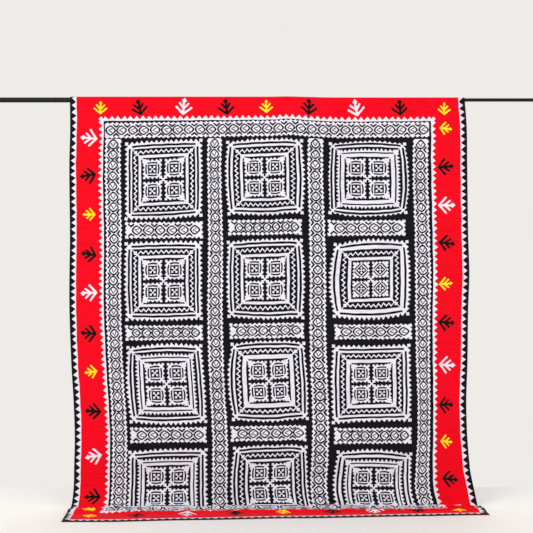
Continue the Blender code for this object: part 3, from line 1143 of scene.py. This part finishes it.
BLOCK_LINES = {  # corners of the first line in mm, then how far its left, right, top and bottom side bow out
    "1_1": (((335, 355), (712, 340), (711, 719), (332, 734)), (-2, 5, 5, 5)),
    "1_2": (((332, 912), (710, 908), (715, 1293), (337, 1296)), (4, 1, 6, 4)),
    "1_3": (((337, 1490), (707, 1483), (711, 1866), (334, 1866)), (11, 4, 10, 11)),
    "1_4": (((326, 2071), (712, 2062), (716, 2435), (328, 2435)), (1, 3, 6, 4)),
    "2_1": (((896, 349), (1272, 343), (1276, 710), (903, 713)), (8, 13, 10, 6)),
    "2_2": (((898, 906), (1272, 899), (1279, 1293), (903, 1285)), (4, 12, 8, 8)),
    "2_3": (((912, 1472), (1283, 1469), (1281, 1856), (900, 1860)), (20, 9, 12, 14)),
    "2_4": (((903, 2051), (1272, 2047), (1290, 2421), (905, 2421)), (12, 3, 8, 5)),
    "3_1": (((1465, 345), (1852, 347), (1857, 704), (1463, 704)), (5, 20, 14, 18)),
    "3_2": (((1495, 911), (1857, 899), (1863, 1263), (1494, 1273)), (21, 11, 14, 15)),
    "3_3": (((1482, 1478), (1863, 1475), (1847, 1854), (1461, 1864)), (7, 3, -2, -4)),
    "3_4": (((1483, 2066), (1854, 2077), (1858, 2427), (1475, 2427)), (14, 0, 14, 5)),
}
SHORT_STRIPS = {  # left and right end, middle along, half height, diamonds
    "1_1": (0.306, 0.742, 0.818, 0.0480, 6), "1_2": (0.306, 0.740, 1.390, 0.0435, 7),
    "1_3": (0.307, 0.735, 1.959, 0.0450, 6), "2_1": (0.879, 1.292, 0.807, 0.0450, 7),
    "2_2": (0.886, 1.304, 1.384, 0.0445, 6), "2_3": (0.866, 1.289, 1.956, 0.0445, 6),
    "3_1": (1.434, 1.869, 0.801, 0.0455, 6), "3_2": (1.470, 1.903, 1.379, 0.0435, 6),
    "3_3": (1.442, 1.875, 1.958, 0.0465, 7),
}
blocks = []
for place, layers in BLOCK_LAYERS.items():
    shapes = fit_block(block(*layers), *BLOCK_LINES[place])
    blocks.append(cut_cloth(f"block_{place}", shapes, WHITE_LOW, WHITE_TOP, WHITE_COTTON))
short_strips = []
for place, (left, right, middle, half, count) in SHORT_STRIPS.items():
    path = ((left, middle, half), (right, middle, half))
    shapes = diamond_strip(left + STRIP_TEETH, right - STRIP_TEETH, path, False, count, 1.0, True)
    short_strips.append(cut_cloth(f"short_strip_{place}", shapes, WHITE_LOW, WHITE_TOP, WHITE_COTTON))
print("blocks:", len(blocks), "short strips:", len(short_strips))

# %% [markdown]
# Small leaf shapes are sewn on the red border, yellow, white and black in turn. Each is a bud on a
# stem with two pairs of arms, and its point looks to the middle of the quilt.

# %% The leaf shapes
LEAF_SIZE = {  # length, then arm width and half bud width as shares of it
    "yellow": (0.075, 0.128, 0.120),
    "white": (0.096, 0.115, 0.150),
    "black": (0.092, 0.135, 0.165),
}
LEAF_COTTON = {"yellow": YELLOW_COTTON, "white": WHITE_COTTON, "black": LEAF_BLACK}
TOP_LEAVES = (  # place across and along, colour
    (0.170, 0.133, "yellow"), (0.385, 0.133, "black"), (0.634, 0.130, "white"),
    (0.870, 0.133, "black"), (1.094, 0.133, "yellow"), (1.330, 0.133, "black"),
    (1.592, 0.131, "white"), (1.838, 0.131, "black"), (2.092, 0.139, "yellow"),
)
LEFT_LEAVES = (
    (0.106, 0.303, "white"), (0.104, 0.512, "black"), (0.108, 0.728, "yellow"), (0.106, 0.950, "black"),
    (0.108, 1.165, "white"), (0.104, 1.389, "black"), (0.106, 1.604, "yellow"), (0.106, 1.824, "black"),
    (0.106, 2.075, "white"), (0.108, 2.300, "black"), (0.110, 2.515, "yellow"),
)
RIGHT_LEAVES = (
    (2.096, 0.250, "yellow"), (2.094, 0.463, "black"), (2.098, 0.677, "white"), (2.096, 0.888, "black"),
    (2.088, 1.114, "yellow"), (2.096, 1.333, "black"), (2.098, 1.567, "white"), (2.092, 1.791, "black"),
    (2.088, 1.995, "yellow"), (2.094, 2.206, "black"), (2.100, 2.425, "white"),
)
HEM_LEAVES = (
    (0.130, 2.668, "yellow"), (0.375, 2.668, "black"), (0.635, 2.668, "white"),
    (0.885, 2.668, "black"), (1.140, 2.668, "yellow"), (1.400, 2.668, "black"),
    (1.625, 2.668, "white"), (1.850, 2.668, "black"), (2.075, 2.672, "yellow"),
)


def arm(start, end, width):
    """A stroke with round ends, as a narrow folded slip of cloth."""
    start, end = np.array(start), np.array(end)
    heading = math.atan2(end[1] - start[1], end[0] - start[0])
    cap = np.linspace(-0.5 * math.pi, 0.5 * math.pi, 5)
    first = [end + 0.5 * width * np.array((math.cos(heading + a), math.sin(heading + a))) for a in cap]
    last = [start - 0.5 * width * np.array((math.cos(heading + a), math.sin(heading + a))) for a in cap]
    return first + last


def leaf(centre, heading, length, width, bud):
    """Outlines of one leaf shape. Its point looks along the heading."""
    slant = rng.normal(0.0, 0.02, 6)
    outer = 0.5 - 0.6 * width
    strokes = [
        arm((outer, 0.0), (0.06, 0.44 + slant[0]), width),
        arm((outer, 0.0), (0.06, -0.44 + slant[1]), width),
        arm((0.13, 0.0), (-0.18, 0.27 + slant[2]), width * 0.95),
        arm((0.13, 0.0), (-0.18, -0.27 + slant[3]), width * 0.95),
        arm((outer, 0.0), (-0.20, slant[4]), width * 1.05),
        [(-0.50, 0.0), (-0.33, -bud), (-0.15, 0.0), (-0.33, bud)],
    ]
    shapes = []
    for stroke in strokes:
        points = turned(np.array(stroke) * length, heading + rng.normal(0.0, 0.02)) + np.array(centre)
        shapes.append((points, True))
    return shapes


HEADINGS = (
    (TOP_LEAVES, 0.5 * math.pi),
    (LEFT_LEAVES, 0.0),
    (RIGHT_LEAVES, math.pi),
    (HEM_LEAVES, -0.5 * math.pi),
)
leaf_shapes = {"yellow": [], "white": [], "black": []}
for leaves, heading in HEADINGS:
    for u, v, dye in leaves:
        askew = heading + rng.normal(0.0, 0.09)
        leaf_shapes[dye] += leaf((u, v), askew, *LEAF_SIZE[dye])
leaves = []
for dye, shapes in leaf_shapes.items():
    leaves.append(cut_cloth(f"leaves_{dye}", shapes, LEAF_LOW, LEAF_TOP, LEAF_COTTON[dye]))

# %% [markdown]
# The front hem is rolled: the backing comes forward under the face and shows as a thin maroon cord
# along the floor.

# %% The rolled front hem
HEM_ROLL_RADIUS = 1.5 * MM
HEM_SAMPLES = 220
hem_u = np.linspace(0.0, CLOTH_WIDTH, HEM_SAMPLES)
hem_line = lay(hem_u, np.full(HEM_SAMPLES, CLOTH_LENGTH), np.full(HEM_SAMPLES, HEM_ROLL_RADIUS))
curve = bpy.data.curves.new("hem_roll", "CURVE")
curve.dimensions = "3D"
curve.bevel_depth = HEM_ROLL_RADIUS
curve.bevel_resolution = 3
curve.use_fill_caps = True
spline = curve.splines.new("POLY")
spline.points.add(HEM_SAMPLES - 1)
spline.points.foreach_set("co", np.hstack((hem_line, np.ones((HEM_SAMPLES, 1)))).ravel())
roll = bpy.data.objects.new("hem_roll", curve)
scene.collection.objects.link(roll)
roll.select_set(True)
bpy.context.view_layer.objects.active = roll
bpy.ops.object.convert(target="MESH")
roll = bpy.context.object
roll.name = "hem_roll"
roll_points = np.array([vertex.co for vertex in roll.data.vertices])
roll_u = np.interp(roll_points[:, 0], hem_line[:, 0], hem_u)
roll_corners = np.empty(len(roll.data.loops), dtype=int)
roll.data.loops.foreach_get("vertex_index", roll_corners)
while roll.data.uv_layers:
    roll.data.uv_layers.remove(roll.data.uv_layers[0])
roll_flat = np.stack((roll_u, CLOTH_LENGTH + roll_points[:, 2]), axis=1)
roll.data.uv_layers.new(name="flat_cloth").data.foreach_set("uv", roll_flat[roll_corners].ravel())
roll.data.materials.clear()
roll.data.materials.append(MAROON_COTTON)
roll.data.shade_smooth()
roll.select_set(False)
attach(roll, "root")
print("hem roll faces:", len(roll.data.polygons))

# %% [markdown]
# The rod is two painted steel tubes, the right one sliding in the left one. The frame's tubes keep
# their place, and finer turned ones stand for them, with a softly rounded mouth where they join.

# %% The rod
ROD_SIDES = 64


def make_paint():
    material = bpy.data.materials.new("rod_paint")
    material.use_nodes = True
    tree = material.node_tree
    shader = tree.nodes["Principled BSDF"]
    place = Value(tree, tree.nodes.new("ShaderNodeTexCoord").outputs["Object"])
    drawn = place.node("ShaderNodeMapping", {"Vector": place, "Scale": (3.0, 160.0, 160.0)})
    grain = place.node("ShaderNodeTexNoise", {"Vector": drawn, "Scale": 1.0, "Detail": 4.0})
    speck = place.node("ShaderNodeTexNoise", {"Vector": place, "Scale": 900.0, "Detail": 2.0})
    paint = grain.between(0.35, 0.75).colours(colour((7, 8, 11)), colour((16, 17, 21)))
    rough = grain * 0.14 + speck * 0.10 + 0.30
    bump = place.node("ShaderNodeBump", {"Height": speck, "Distance": 0.1 * MM, "Strength": 0.25})
    tree.links.new(paint.socket, shader.inputs["Base Color"])
    tree.links.new(rough.socket, shader.inputs["Roughness"])
    tree.links.new(bump.socket, shader.inputs["Normal"])
    shader.inputs["Specular IOR Level"].default_value = 0.15
    shader.inputs["Coat Weight"].default_value = 0.05
    shader.inputs["Coat Roughness"].default_value = 0.25
    return material


ROD_PAINT = make_paint()


def make_tube(name, node, round_edge):
    """A fine tube in place of a node of the frame, with rounded ends."""
    low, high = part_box(node)
    low, high = Vector(low), Vector(high)
    middle = 0.5 * (low + high)
    radius = 0.5 * (high.z - low.z)
    bpy.ops.object.select_all(action="DESELECT")
    bpy.ops.mesh.primitive_cylinder_add(
        vertices=ROD_SIDES,
        radius=radius,
        depth=high.x - low.x,
        location=middle,
        rotation=(0.0, 0.5 * math.pi, 0.0),
    )
    tube = bpy.context.object
    tube.name = name
    bpy.ops.object.transform_apply(location=True, rotation=True, scale=True)
    bevel = tube.modifiers.new("round_ends", "BEVEL")
    bevel.width = round_edge
    bevel.segments = 4
    bevel.limit_method = "ANGLE"
    bevel.angle_limit = math.radians(60.0)
    bpy.ops.object.modifier_apply(modifier=bevel.name)
    bpy.ops.object.shade_smooth_by_angle(angle=math.radians(35.0))
    tube.data.materials.append(ROD_PAINT)
    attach(tube, "root")
    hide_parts(node)
    tube.select_set(False)
    print(name, "radius:", round(radius, 4))
    return tube


make_tube("thick_tube", "rod_thick_tube", 1.6 * MM)
make_tube("thin_tube", "rod_thin_tube", 1.2 * MM)

# %% [markdown]
# A wide pale floor ends a little behind the quilt, and the pale world behind it stands for a wall.
# Neither is part of the quilt.

# %% The floor
FLOOR_SIZE = 24.0
FLOOR_DROP = 0.4 * MM
FLOOR_BEHIND = 0.55
floor_back = ROD_Y - HANGING_DEPTH + FLOOR_BEHIND
bpy.ops.mesh.primitive_plane_add(size=FLOOR_SIZE, location=(0.0, floor_back - 0.5 * FLOOR_SIZE, -FLOOR_DROP))
studio_floor = bpy.context.object
studio_floor.name = "studio_floor"
floor_paint = bpy.data.materials.new("studio_floor")
floor_paint.use_nodes = True
floor_shader = floor_paint.node_tree.nodes["Principled BSDF"]
floor_shader.inputs["Base Color"].default_value = colour((238, 237, 235))
floor_shader.inputs["Roughness"].default_value = 0.9
studio_floor.data.materials.append(floor_paint)
studio_floor.select_set(False)

# %% [markdown]
# The sewn pieces are gathered in one list.

SEWN = [edging, guard] + borders + strips + blocks + short_strips + leaves
